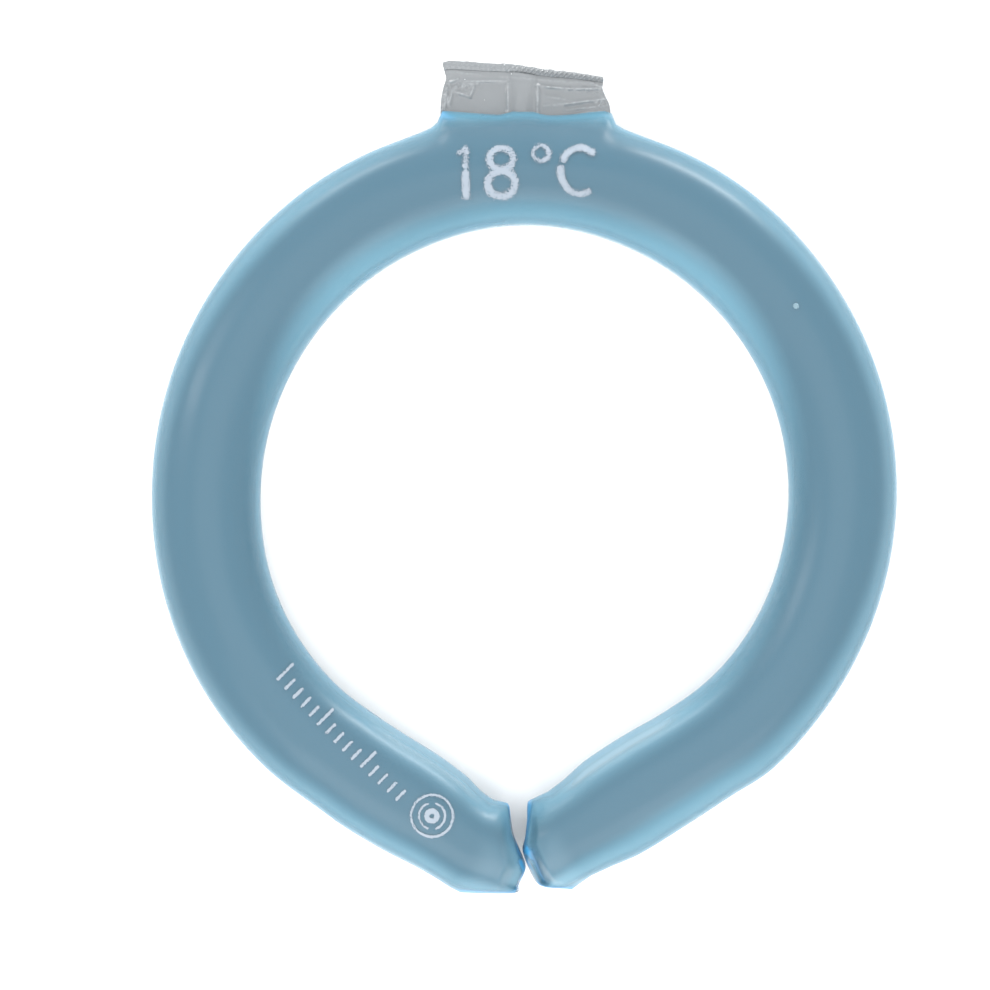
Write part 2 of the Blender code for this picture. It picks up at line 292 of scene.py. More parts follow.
def onCircle(turn, radius):
    # turn in degrees from the tab towards +X
    angle = math.radians(turn)
    return Vector((math.sin(angle) * radius, math.cos(angle) * radius))


def endPoint(rows, across, side):
    off = tube["throatGap"] / 2 + column(rows, "off", across) * tube["width"]
    up = column(rows, "up", across) * tube["width"]
    return Vector((tube["throatShift"] + side * off, up - tube["endReach"]))


def armRibs(rows, base, leaveAngle, side):
    start = side * (180 - leaveAngle)
    innerStart, outerStart = onCircle(start, tube["neckRadius"]), onCircle(start, tube["outerRadius"])
    innerEnd, outerEnd = endPoint(base, -1, side), endPoint(base, 1, side)
    ribs = []
    for row in rows:
        inner = mix(innerStart, innerEnd, row["at"])
        outer = mix(outerStart, outerEnd, row["at"])
        out = (outer - inner).normalized() * tube["half"]
        ribs.append((inner - out * row["inner"], outer + out * row["outer"]))
    return ribs


def roundRibs():
    first, last = tube["leftArmAngle"] - 180, 180 - tube["rightArmAngle"]
    count = tube["roundCount"]
    ribs = []
    for k in range(1, count):
        turn = mix(first, last, k / count)
        inner = tube["neckRadius"] - column(roundSwells, "inner", turn) * tube["half"]
        outer = tube["outerRadius"] + column(roundSwells, "outer", turn) * tube["half"]
        ribs.append((onCircle(turn, inner), onCircle(turn, outer)))
    return ribs


def smoothRibs():
    # evenly spaced ribs on a smooth curve through the chosen ones, from the left end to the right
    ribs = armRibs(leftArm, leftBase, tube["leftArmAngle"], -1)[::-1] + roundRibs()
    ribs += armRibs(rightArm, rightBase, tube["rightArmAngle"], 1)
    places = [0.0]
    for (innerA, outerA), (innerB, outerB) in zip(ribs, ribs[1:]):
        places.append(places[-1] + ((innerB + outerB) - (innerA + outerA)).length / 2)
    count = round(places[-1] / tube["stationGap"])
    inner, outer = [rib[0] for rib in ribs], [rib[1] for rib in ribs]
    return [(spline(places, inner, places[-1] * k / count), spline(places, outer, places[-1] * k / count))
            for k in range(count + 1)]


# Neck: how the tube thins into the tab's seam

neck = {
    "seamRise": 0.0011,
    "tabWidth": 0.0408,
    "tabShift": 0.0003,
    "seamHalf": 0.0008,
    "wedgePower": 1.5,
    "drawPower": 4.0,
    # root line of the tab: pixel across the photograph and how far the blue runs up, in pixels
    "rootWave": table("up", (430, 0), (441, 3.5), (455, 3.0), (480, 1.2), (500, 0.0), (506, 1.4), (512, 3.2),
                      (520, 3.0), (535, 2.6), (545, -0.4), (570, 0.2), (590, 2.6), (610, 3.4), (622, 0)),
}
neck["reach"] = tube["outerRadius"] + neck["seamRise"]
neckRows = table(
    "rise pinch",
    (0.00, 1.00, 1.00), (0.50, 1.00, 1.00), (0.80, 1.00, 0.97), (0.97, 1.00, 0.90), (1.00, 0.95, 0.86),
    (1.03, 0.55, 0.76), (1.11, 0.27, 0.54), (1.22, 0.12, 0.30), (1.38, 0.04, 0.10), (1.60, 0.00, 0.00),
    (2.00, 0.00, 0.00))


def neckAt(inner, outer):
    # how much a rib near the tab is pinched, and how far the seam draws its outside out
    middle = inner + outer
    if middle.y <= 0 or abs(middle.x) > middle.y:
        return 0.0, Vector((0, 0))
    slant = middle.x / middle.y
    out = abs(slant * neck["reach"] - neck["tabShift"]) / (neck["tabWidth"] / 2)
    if out > neckRows[-1]["at"]:
        return 0.0, Vector((0, 0))
    wave = column(neck["rootWave"], "up", ringPixel[0] + slant * neck["reach"] / pixel) * pixel
    climb = (neck["reach"] + wave) * math.hypot(1, slant) - outer.length
    return column(neckRows, "pinch", out), outer.normalized() * max(climb, 0) * column(neckRows, "rise", out)


# Folds and dimples of the film: two places (x, y) in pixels of the photograph, lift and width in mm, and
# blueness, the gel's blue in seams and folds made saturated as painted edge glow, or below zero a painted
# highlight
filmMarks = [
    (529.0, 803, 523.5, 842, 0.10, 0.85, 0.80), (522.5, 851, 528.0, 851, 0.30, 1.25, 1.00),
    (526.0, 846, 531.0, 858, 0.15, 0.75, 0.90), (531.5, 852, 543.5, 881, -0.45, 0.34, 0.80),
    (527.5, 861, 539.5, 884, 0.35, 0.85, -0.75), (545.0, 886.5, 577.0, 888.0, 0.00, 0.50, 0.75),
    (535.0, 800, 528.0, 812, 0.25, 0.45, 0.10), (541.0, 806, 530.0, 822, -0.20, 0.50, 0.15),
    (549.0, 872, 545.0, 884, -0.20, 0.60, 0.20), (508.5, 804, 518.0, 850, 0.00, 0.36, 0.80),
    (521.0, 860, 525.0, 869, 0.10, 0.85, 1.00), (525.0, 869, 520.0, 880, 0.00, 0.50, 0.80),
    (519.0, 884, 514.0, 890, 0.00, 0.55, 0.70), (456.0, 890.5, 514.0, 891.0, 0.00, 0.55, 0.70),
    (508.0, 803, 500.0, 800, 0.12, 0.45, 0.35), (504.0, 812, 512.0, 846, -0.18, 0.60, 0.15),
    (438.0, 126, 456.0, 117, 0.50, 0.85, 0.00), (446.0, 129, 462.0, 124, -0.35, 0.80, 0.00),
    (602.0, 116, 613.0, 126, 0.50, 0.85, 0.00), (576.0, 117, 590.0, 118, -0.30, 0.80, 0.00),
    (590.0, 118, 600.0, 126, -0.45, 0.90, 0.00), (443.0, 114, 448.0, 119, 0.00, 0.80, 0.70),
]


def nearLine(point, start, end):
    run = end - start
    share = clamp((point - start).dot(run) / run.length_squared)
    return (point - start - run * share).length, share


def fromPixel(x, y, rise=0.0):
    # a place in plan under a pixel of the photograph, at a height above the ring's middle
    scale = pixel * (1 - rise / cameraHeight)
    shift = Vector((x - middlePixel, middlePixel - y)) * scale
    return cameraPlace + shift


# painted light: how strongly and how wide the gel's thin sides are painted pale round the ring, by the turn
# from the tab
paintedGelLightSides = table(
    "inner innerFrom outer outerFrom",
    (-180, 0.80, -0.40, 0.75, 0.50), (-150, 0.85, -0.45, 0.75, 0.50), (-120, 0.65, -0.62, 0.55, 0.62),
    (-90, 0.45, -0.68, 0.55, 0.64), (-45, 0.95, -0.30, 0.80, 0.48), (-16, 0.90, -0.38, 0.60, 0.62),
    (-12, 0.90, -0.38, 1.00, 0.76), (12, 0.90, -0.38, 1.00, 0.76), (16, 0.90, -0.38, 0.60, 0.62),
    (45, 0.95, -0.30, 0.75, 0.50), (90, 0.50, -0.60, 0.70, 0.62), (120, 0.70, -0.55, 0.62, 0.45),
    (150, 0.90, -0.40, 0.75, 0.35), (180, 0.80, -0.40, 0.80, 0.40))


def paintedGelLightAt(across, turn, endShare):
    # how much painted light pales the gel at a place on the tube, from 0 to 1: along its thin sides and on
    # the ends
    inner = column(paintedGelLightSides, "inner", turn) * ease((column(paintedGelLightSides, "innerFrom", turn) - across) / 0.55)
    outer = column(paintedGelLightSides, "outer", turn) * ease((across - column(paintedGelLightSides, "outerFrom", turn)) / 0.42)
    return clamp(max(inner, outer, 0.75 * ease((endShare - 0.55) / 0.45)))


def paintedSheenAt(across, turn, endShare):
    # painted highlights and sheen in the film's colour: a highlight line along the inner edge by the nape,
    # glints on the arms' inner sides and a grey sheen on the ends
    napeHighlight = 0.8 * ease((-across - 0.955) / 0.045) * ease((62 - abs(turn)) / 30)
    bend = ease((abs(turn) - 136) / 16) * ease((178 - abs(turn)) / 10) * (1 - ease((endShare - 0.30) / 0.5))
    strength = 0.50 if turn < 0 else 0.62
    glint = strength * bend * math.exp(-((across + 0.84) / 0.13) ** 2)
    endSheen = 0.30 * ease(endShare / 0.45) * (1 - ease((endShare - 0.82) / 0.14)) * ease((across + 0.5) / 0.6)
    return max(napeHighlight, glint, endSheen if abs(turn) > 150 else 0.0)


markLines = [(fromPixel(a, b), fromPixel(c, d), lift / 1000, width / 1000, blue)
             for a, b, c, d, lift, width, blue in filmMarks]


def markAt(point):
    # how much the marks lift the film at a place in plan, how blue they make it and how much painted
    # highlight they lay on it
    lift, blue, paintedHighlight = 0.0, 0.0, 0.0
    if min(abs(point.y - 0.0825), abs(point.y + 0.0875)) > 0.016:
        return lift, blue, paintedHighlight
    for start, end, height, width, blueness in markLines:
        away, share = nearLine(point, start, end)
        if away < width * 3:
            fall = math.exp(-(away / width) ** 2)
            lift += height * fall
            blue = max(blue, blueness * fall)
            paintedHighlight = max(paintedHighlight, -blueness * fall)
    return lift, blue * (1 - paintedHighlight), paintedHighlight


def surfaceWave(point):
    # slow unevenness of the blown film
    return noise.noise(point * 38) * 0.00022 + noise.noise(point * 110 + Vector((3, 1, 7))) * 0.00005


def aroundAt(k):
    return 2 * math.pi * (k + 0.5) / tube["sides"]


def acrossAt(k):
    # place of a loop's point across the tube, -1 inside and 1 outside
    level = math.cos(aroundAt(k))
    return math.copysign(abs(level) ** (2 / tube["fullness"]), level)


def sectionLoop(plan, pinch=0.0, flatten=0.0, bend=None, inset=0.0, facet=None):
    # a closed loop of points round the tube; inset shrinks it by a wall
    loop = []
    for k in range(tube["sides"]):
        turn = aroundAt(k)
        across = acrossAt(k)
        lift = abs(math.sin(turn)) ** (2 / tube["fullness"])
        half = tube["halfHeight"] * lift
        if across > 0 and pinch:
            wedge = neck["seamHalf"] + (tube["halfHeight"] - neck["seamHalf"]) * lift ** neck["wedgePower"]
            half = mix(half, wedge, pinch)
        if flatten:
            flat = mix(half, tube["edgeHalf"], flatten)
            if facet:
                flat = mix(flat, mix(half, tube["edgeHalf"], facet[0]), facet[1](across))
            half = flat
        half = max(half - inset, tube["thinnest"])
        point = plan(across * (1 - inset / tube["half"]))
        middle = bend(across) if bend else 0.0
        up = math.copysign(half, math.sin(turn))
        loop.append(Vector((point.x, point.y, middle + up)))
    return loop


def capLoops(base, end, side, inset):
    loops = []
    for share in tube["capShares"]:
        if inset and share > tube["gelEnd"]:
            continue
        roll = (1 - share ** tube["endBluntness"]) ** (1 / tube["endBluntness"])
        slab = ease((share - 0.64) / 0.22)

        def plan(across):
            return mix(mix(base[0], base[1], (across + 1) / 2), endPoint(end, across, side), share)

        def bend(across):
            return column(end, "lift", across) * tube["halfHeight"] * (1 - roll)

        def facet(across):
            return column(end, "facet", across)

        loops.append(sectionLoop(plan, flatten=1 - roll, inset=inset, bend=bend, facet=(slab, facet)))
    return loops


def tubeLoops(inset=0.0):
    ribs = smoothRibs()
    loops = []
    for inner, outer in ribs:
        pinch, climb = neckAt(inner, outer)

        def plan(across):
            drawn = climb * max(across, 0.0) ** neck["drawPower"]
            return mix(inner, outer, (across + 1) / 2) + drawn

        loops.append(sectionLoop(plan, pinch=pinch, inset=inset))
    left = capLoops(ribs[0], leftEnd, -1, inset)[::-1]
    right = capLoops(ribs[-1], rightEnd, 1, inset)
    return left + loops + right, len(left), len(right)


def loftTube(inset):
    loops, leftCount, rightCount = tubeLoops(inset)
    mesh = bmesh.new()
    edge = mesh.verts.layers.float.new("pinchedEdge")
    side = mesh.verts.layers.float.new("acrossTube")
    crease = mesh.verts.layers.float.new("creaseBlue")
    # painted light of the gel's thin sides and ends, and painted highlights and sheen of the film, kept at
    # each point
    gelLight = mesh.verts.layers.float.new("paintedGelLight")
    rim = mesh.verts.layers.float.new("paintedSheen")
    rings = []
    shares = tube["capShares"]
    for i, loop in enumerate(loops):
        # how far along a pinched end this loop is, 0 on the rest of the tube
        share = 0.0
        if i < leftCount:
            share = shares[leftCount - 1 - i]
        elif i >= len(loops) - rightCount:
            share = shares[i - len(loops) + rightCount]
        ring = []
        for k, point in enumerate(loop):
            wave = 0.0 if i in (0, len(loops) - 1) or point.z < 0.001 else surfaceWave(point + ringCentre)
            lift, blue, paintedHighlight = markAt((point + ringCentre).to_2d())
            if point.z <= 0:
                lift = 0.0
            vert = mesh.verts.new(point + Vector((0, 0, wave + lift)))
            across = acrossAt(k)
            turn = math.degrees(math.atan2(point.x, point.y))
            vert[crease] = blue
            vert[edge] = share * ease(1.4 - abs(point.z) / 0.0045)
            vert[side] = across
            vert[gelLight] = paintedGelLightAt(across, turn, share)
            # painted highlights and sheen, together with the painted highlight of the film marks
            vert[rim] = max(paintedSheenAt(across, turn, share), paintedHighlight)
            ring.append(vert)
        rings.append(ring)
    count = tube["sides"]
    for near, far in zip(rings, rings[1:]):
        for k in range(count):
            j = (k + 1) % count
            mesh.faces.new((near[k], near[j], far[j], far[k]))
    for ring in (rings[0], rings[-1]):
        for k in range(count // 2 - 1):
            mesh.faces.new((ring[k], ring[k + 1], ring[count - 2 - k], ring[count - 1 - k]))
    bmesh.ops.recalc_face_normals(mesh, faces=mesh.faces)
    bmesh.ops.translate(mesh, vec=ringCentre, verts=mesh.verts)
    return mesh


# Skin: frosted clear film

skinLook = {
    "colour": (0.135, 0.178, 0.200),
    # blue of the pinched seams and folds: the gel's colour run into them, made saturated as painted edge glow
    "edgeColour": (0.040, 0.270, 0.520),
    # colour of the painted highlights and sheen
    "paintedSheenColour": (0.36, 0.48, 0.54),
    "alpha": 0.30,
    "sideAlpha": 0.62,
    # blue of the painted light through the film's thin sides
    "paintedSideColour": (0.105, 0.270, 0.370),
    "edgeAlpha": 0.90,
    "dustColour": (0.42, 0.50, 0.54),
    "roughness": (0.26, 0.36),
    "grainBump": 0.018,
}


def makeSkinMaterial():
    made, tree, shader = newMaterial("frostedFilm")
    frost = useGroup(tree, frostGroup, Grain_Size=0.0006, Patch_Size=0.025,
                     Low=skinLook["roughness"][0], High=skinLook["roughness"][1])
    dust = useGroup(tree, speckGroup, Spacing=0.006, Dot_Size=0.035, Share=0.35)
    # the pinched seams and creased folds: the gel's blue, made saturated as painted edge glow
    edge = readAttribute(tree, "pinchedEdge")
    crease = readAttribute(tree, "creaseBlue")
    edgeMask = mathNode(tree, "MAXIMUM", rangeNode(tree, edge, 0.90, 1.0), crease)
    across = readAttribute(tree, "acrossTube")
    # painted highlights and sheen: whitened colour, made more opaque
    rim = readAttribute(tree, "paintedSheen")
    # painted light: the film's thin sides take the blue of light shining through them and grow more opaque
    side = rangeNode(tree, mathNode(tree, "ABSOLUTE", across), 0.78, 1.0)
    tinted = mixColour(tree, side, skinLook["colour"], skinLook["paintedSideColour"])
    tinted = mixColour(tree, rim, tinted, skinLook["paintedSheenColour"])
    tinted = mixColour(tree, edgeMask, tinted, skinLook["edgeColour"])
    dusted = mixColour(tree, dust.outputs["Mask"], tinted, skinLook["dustColour"])
    tree.links.new(dusted, shader.inputs["Base Color"])
    alpha = rangeNode(tree, side, 0.0, 1.0, skinLook["alpha"], skinLook["sideAlpha"])
    alpha = mathNode(tree, "MAXIMUM", alpha, rim)
    alpha = rangeNode(tree, edgeMask, 0.0, 1.0, alpha, skinLook["edgeAlpha"])
    tree.links.new(alpha, shader.inputs["Alpha"])
    tree.links.new(frost.outputs["Roughness"], shader.inputs["Roughness"])
    bump = addNode(tree, "ShaderNodeBump", Strength=skinLook["grainBump"], Distance=0.0003,
                   Height=frost.outputs["Height"])
    tree.links.new(bump.outputs["Normal"], shader.inputs["Normal"])
    shader.inputs["IOR"].default_value = 1.5
    shader.inputs["Specular IOR Level"].default_value = 0.36
    return made


# Gel: an opaque blue body, deep along the middle of the tube, with painted light making it pale along its
# thin sides and on its ends

gelLook = {
    "inset": 0.0003,
    "deep": (0.024, 0.117, 0.186),
    # colour of the painted light on the gel's thin sides and ends
    "paintedLight": (0.146, 0.367, 0.490),
    "roughness": 0.3,
}


def makeGelMaterial():
    made, tree, shader = newMaterial("blueGel")
    gelLight = readAttribute(tree, "paintedGelLight")
    tree.links.new(mixColour(tree, gelLight, gelLook["deep"], gelLook["paintedLight"]), shader.inputs["Base Color"])
    shader.inputs["Roughness"].default_value = gelLook["roughness"]
    shader.inputs["IOR"].default_value = 1.36
    return made


skinMaterial = makeSkinMaterial()
gelMaterial = makeGelMaterial()
skin = makeObject("frosted_skin", loftTube(0.0), skinMaterial)
gel = makeObject("blue_gel_fill", loftTube(gelLook["inset"]), gelMaterial)
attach(skin, "root")
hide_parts("tube_skin")
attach(gel, "root")
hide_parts("cooling_gel")

skinTree = BVHTree.FromObject(skin, bpy.context.evaluated_depsgraph_get())


def onSkin(point):
    hit = skinTree.ray_cast(Vector((point.x, point.y, 0.1)), Vector((0, 0, -1)))[0]
    return hit.z if hit else None


# A small round bubble caught under the film
bubble = {"pixel": (796, 306), "radius": 0.00075, "height": 0.00035}


def makeBubble():
    mesh = bmesh.new()
    bmesh.ops.create_uvsphere(mesh, u_segments=24, v_segments=12, radius=bubble["radius"])
    place = fromPixel(*bubble["pixel"], rise=tube["halfHeight"])
    height = onSkin(place)
    for vert in mesh.verts:
        ring = math.hypot(vert.co.x, vert.co.y) / bubble["radius"]
        vert.co.z *= bubble["height"] / bubble["radius"] * (0.55 + 0.45 * ease(ring * 1.4))
        vert.co += Vector((*place, height))
    made, tree, shader = newMaterial("bubbleFilm")
    shader.inputs["Base Color"].default_value = (0.22, 0.34, 0.40, 1)
    shader.inputs["Roughness"].default_value = 0.12
    shader.inputs["Alpha"].default_value = 0.55
    piece = makeObject("air_bubble", mesh, made)
    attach(piece, "root")


makeBubble()
print("tube done:", len(skin.data.polygons), "skin faces,", len(gel.data.polygons), "gel faces")

# Tab: a flat clear piece of film above the nape, crumpled, with welded lines and a filling channel

tab = {
    "root": 0.0908,
    "height": 0.0127,
    "half": 0.0204,
    "shift": 0.0003,
    "thickness": 0.0008,
    "tuck": 0.0016,            # how far the film runs down into the tube's seam
    "cell": 0.00022,
    "colour": (0.172, 0.186, 0.196),
    "alpha": 0.80,
    # colour of the painted highlight along the creases
    "creaseHighlightColour": (0.42, 0.45, 0.47),
    "dustColour": (0.55, 0.57, 0.58),
    "sealColour": (0.180, 0.195, 0.205),
    "sealAlpha": 0.85,
    "sealHeight": 0.0021,
    "sealHalf": 0.0003,        # half thickness of the strip between its ribs
    "sealCell": 0.00012,
    "sealRows": 18,
    "ropeLift": 0.00055,
    "ropePitch": 0.00125,
    "foldLift": 0.0011,
    "channel": (508, 538, 0.0006),     # left and right weld in pixels and the bulge between them
}
tabSides = table("left right", (0, 0, 0), (0.25, 0.003, 0.009), (0.48, 0.015, 0.032), (0.68, 0.032, 0.048),
                 (0.80, 0.024, 0.044), (0.96, 0.012, 0.042), (1, 0.017, 0.048))
tabTop = table("drop", (0, 0.02), (0.05, 0), (0.30, 0.05), (0.45, 0.07), (0.55, 0.12), (0.67, 0.17),
               (0.80, 0.21), (1, 0.30))
# the folds run between two places, each (x, y) in pixels of the photograph, with a height and a width
tabFolds = [
    (508, 84, 508, 113, 0.50, 0.0004), (537.5, 85, 537.5, 113, 0.50, 0.0005),
    (460, 81.5, 507, 81.0, 0.40, 0.0004),
    (537, 86, 570, 89, 0.45, 0.0004), (570, 89, 603, 89, 0.50, 0.0004), (566, 104, 606, 99, 0.40, 0.0004),
    (544, 106, 580, 103, 0.20, 0.0005), (566, 110, 604, 106, 0.25, 0.0004), (548, 97, 566, 100, 0.18, 0.0005),
    (449, 83, 458, 79, 0.55, 0.0004), (455, 92, 470, 97, 0.45, 0.0004), (470, 97, 474, 86, 0.45, 0.0004),
    (462, 84, 478, 84, 0.40, 0.0004), (444, 110, 447, 88, 0.55, 0.0004), (449, 104, 452, 92, 0.35, 0.0004),
    (450, 72, 480, 75, 0.15, 0.0006), (500, 77, 596, 84, 0.16, 0.0007), (590, 82, 602, 88, 0.35, 0.0004),
    (444, 117, 475, 113.5, 0.30, 0.0005), (575, 115, 606, 111, 0.30, 0.0005),
]
# crumpled places: middle (x, y) and half sizes in pixels
tabCrumples = [(461, 88, 15, 8), (447, 99, 5, 14), (591, 90, 12, 4), (600, 103, 7, 8)]


def tabPoint(along, up):
    # plan point of the film; up is 0 at the root and 1 at the top edge
    left = -tab["half"] + column(tabSides, "left", up) * 2 * tab["half"]
    right = tab["half"] - column(tabSides, "right", up) * 2 * tab["half"]
    drop = column(tabTop, "drop", along)
    y = tab["root"] + up * tab["height"] * (1 - drop)
    return Vector((tab["shift"] + mix(left, right, along), y)) + ringCentre.to_2d()


foldLines = [(fromPixel(a, b), fromPixel(c, d), lift, width) for a, b, c, d, lift, width in tabFolds]
crumplePatches = [(fromPixel(x, y), halfX * pixel, halfY * pixel) for x, y, halfX, halfY in tabCrumples]


def foldHeight(point):
    # creases of the film: sharp little ridges with a slack wave between them, and a painted highlight along
    # each ridge and crumple
    height, paintedHighlight = 0.0, 0.0
    for start, end, lift, width in foldLines:
        away, share = nearLine(point, start, end)
        strength = lift * (0.35 + 0.65 * math.sin(math.pi * clamp(share, 0.12, 0.88)))
        height += strength * math.exp(-(away / width) ** 2)
        paintedHighlight = max(paintedHighlight, strength * math.exp(-(away / (width * 0.45)) ** 2))
    for centre, halfX, halfY in crumplePatches:
        away = Vector(((point.x - centre.x) / halfX, (point.y - centre.y) / halfY)).length
        if away < 2:
            ridge = 1 - abs(noise.noise(Vector((point.x * 620, point.y * 620, 6.0)))) * 5
            second = 1 - abs(noise.noise(Vector((point.x * 900, point.y * 900, 8.0)))) * 6
            sharp = max(ridge, second * 0.8, 0.0) * math.exp(-away * away)
            height += sharp * 0.30
            paintedHighlight = max(paintedHighlight, sharp ** 3 * 0.75)
    slack = noise.noise(Vector((point.x * 260, point.y * 190, 2.0)))
    fine = noise.noise(Vector((point.x * 900, point.y * 700, 9.0)))
    left, right = fromPixel(tab["channel"][0], 100).x, fromPixel(tab["channel"][1], 100).x
    inside = clamp((point.x - left) / (right - left))
    bulge = math.sin(math.pi * inside) * tab["channel"][2]
    patchy = 0.55 + 0.9 * noise.noise(Vector((point.x * 1300, point.y * 1300, 4.0)))
    return height * tab["foldLift"] + slack * 0.00018 + fine * 0.00003 + bulge, clamp(paintedHighlight * 1.15 * patchy)


def ropeHeight(point, up):
    # slanting ribs of the crimped strip, deeper to the right
    turn = (point.x - point.y * 0.9) / tab["ropePitch"] * 2 * math.pi
    strength = mix(0.25, 1.0, ease((point.x - ringCentre.x + 0.006) / 0.012))
    belly = math.sin(math.pi * clamp(up))
    return belly * (0.00035 + strength * tab["ropeLift"] * (0.5 + 0.5 * math.sin(turn)))


def plate(columns, rows, top, bottom, creaseHighlightAt=None):
    # closed thin plate; top and bottom give the 3-D point at a share along and up, and the last argument the
    # painted highlight at each point
    mesh = bmesh.new()
    paintedHighlight = mesh.verts.layers.float.new("creaseHighlight")
    layers = []
    for place in (top, bottom):
        layers.append([[mesh.verts.new(place(i / columns, j / rows)) for i in range(columns + 1)]
                       for j in range(rows + 1)])
    upper, lower = layers
    if creaseHighlightAt:
        for row in upper + lower:
            for vert in row:
                vert[paintedHighlight] = creaseHighlightAt(vert.co.to_2d())
    for j in range(rows):
        for i in range(columns):
            mesh.faces.new((upper[j][i], upper[j][i + 1], upper[j + 1][i + 1], upper[j + 1][i]))
            mesh.faces.new((lower[j + 1][i], lower[j + 1][i + 1], lower[j][i + 1], lower[j][i]))
    rim = [(0, i) for i in range(columns)] + [(j, columns) for j in range(rows)]
    rim += [(rows, i) for i in range(columns, 0, -1)] + [(j, 0) for j in range(rows, 0, -1)]
    for (j, i), (b, a) in zip(rim, rim[1:] + rim[:1]):
        mesh.faces.new((lower[j][i], lower[b][a], upper[b][a], upper[j][i]))
    return mesh


def makeTab():
    tuck = tab["tuck"] / tab["height"]
    stripShare = 1 - tab["sealHeight"] / tab["height"]
    columns = round(2 * tab["half"] / tab["cell"])
    rows = round(tab["height"] / tab["cell"])

    def planAt(along, up):
        share = mix(-tuck, stripShare, up)
        point = tabPoint(along, max(share, 0.0))
        if share < 0:
            inwards = (point - ringCentre.to_2d()).normalized()
            point = point + inwards * share * tab["height"]
        return point

    def lift(point, up):
        calm = ease(up / 0.14)
        return foldHeight(point)[0] * calm

    def top(along, up):
        point = planAt(along, up)
        return Vector((*point, ringCentre.z + tab["thickness"] / 2 + lift(point, up)))

    def bottom(along, up):
        point = planAt(along, up)
        return Vector((*point, ringCentre.z - tab["thickness"] / 2 + lift(point, up) * 0.8))

    return plate(columns, rows, top, bottom, lambda point: foldHeight(point)[1])


def makeSeal():
    stripShare = 1 - tab["sealHeight"] / tab["height"]
    columns = round(2 * tab["half"] / tab["sealCell"])

    def planAt(along, up):
        # the strip's outer edge wanders a little
        point = tabPoint(along, mix(stripShare, 1.0, up))
        wander = noise.noise(Vector((point.x * 700, 5.0, 1.0))) * 0.00018 * up
        return Vector((point.x, point.y + wander))

    def top(along, up):
        point = planAt(along, up)
        return Vector((*point, ringCentre.z + tab["sealHalf"] + ropeHeight(point, up)))

    def bottom(along, up):
        point = planAt(along, up)
        return Vector((*point, ringCentre.z - tab["sealHalf"] - ropeHeight(point, up)))

    return plate(columns, tab["sealRows"], top, bottom)


def makeFilmMaterial(name, colour, alpha, roughness, dustShare):
    made, tree, shader = newMaterial(name)
    frost = useGroup(tree, frostGroup, Grain_Size=0.0005, Patch_Size=0.006,
                     Low=roughness[0], High=roughness[1])
    dust = useGroup(tree, speckGroup, Spacing=0.0016, Dot_Size=0.09, Share=dustShare)
    # painted highlights along the welds, folds and crumples
    crease = readAttribute(tree, "creaseHighlight")
    highlighted = mixColour(tree, crease, colour, tab["creaseHighlightColour"])
    dusted = mixColour(tree, dust.outputs["Mask"], highlighted, tab["dustColour"])
    tree.links.new(dusted, shader.inputs["Base Color"])
    tree.links.new(frost.outputs["Roughness"], shader.inputs["Roughness"])
    bump = addNode(tree, "ShaderNodeBump", Strength=0.12, Distance=0.0002, Height=frost.outputs["Height"])
    tree.links.new(bump.outputs["Normal"], shader.inputs["Normal"])
    shader.inputs["Alpha"].default_value = alpha
    shader.inputs["IOR"].default_value = 1.5
    return made


clearFilm = makeFilmMaterial("clearFilm", tab["colour"], tab["alpha"], (0.12, 0.22), 0.10)
crimpedFilm = makeFilmMaterial("crimpedFilm", tab["sealColour"], tab["sealAlpha"], (0.15, 0.28), 0.06)
tabFilm = makeObject("tab_film", makeTab(), clearFilm)
sealCrimp = makeObject("seal_crimp", makeSeal(), crimpedFilm)
for piece, node, slotName in ((tabFilm, "fill_tab", "clear_film"), (sealCrimp, "seal_strip", "crimped_film")):
    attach(piece, "root")
    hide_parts(node)
print("tab done:", len(tabFilm.data.polygons), "film faces,", len(sealCrimp.data.polygons), "strip faces")

# Print: worn white strokes laid on the top of the tube

ink = {
    "lift": 0.00006,
    "sink": 0.00010,
    "cell": 0.00012,
    "margin": 0.0012,          # clear space round the strokes in the grid
    "reach": 0.0006,           # how far from a stroke its wear can show
    "grainSize": 0.0006,
    "chipSize": 0.00026,
    "colour": (0.240, 0.285, 0.335),
    "chipColour": (0.16, 0.24, 0.30),
    "alpha": 0.94,
}


def arc(centreX, centreY, radiusX, radiusY, first, last, steps=28):
    # turn in degrees, clockwise from straight up, as seen in the photograph
    turns = [math.radians(mix(first, last, k / steps)) for k in range(steps + 1)]
    return [(centreX + math.sin(turn) * radiusX, centreY - math.cos(turn) * radiusY) for turn in turns]


# strokes of the temperature, in pixels of the photograph: points and stroke width
temperatureStrokes = [
    ([(459.5, 152.5), (465.0, 149.0)], 5.4),
    ([(466.0, 148.0), (465.5, 166.5)], 6.6),
    ([(465.5, 173), (466.0, 195.5)], 8.0),
    (arc(501, 158.5, 11.8, 11.0, 0, 360), 7.6),
    (arc(501.5, 183.6, 14.0, 12.8, 0, 360), 7.8),
    (arc(541.0, 153.0, 7.8, 7.8, 0, 360), 5.0),
    (arc(580, 170, 19.0, 23.0, 40, -62), 7.4),
    (arc(580, 170, 19.6, 23.0, -86, -148), 7.6),
    (arc(580, 170, 19.6, 23.6, -150, -205), 6.6),
    ([(594.5, 149.5), (594.0, 155.0)], 3.0),
]


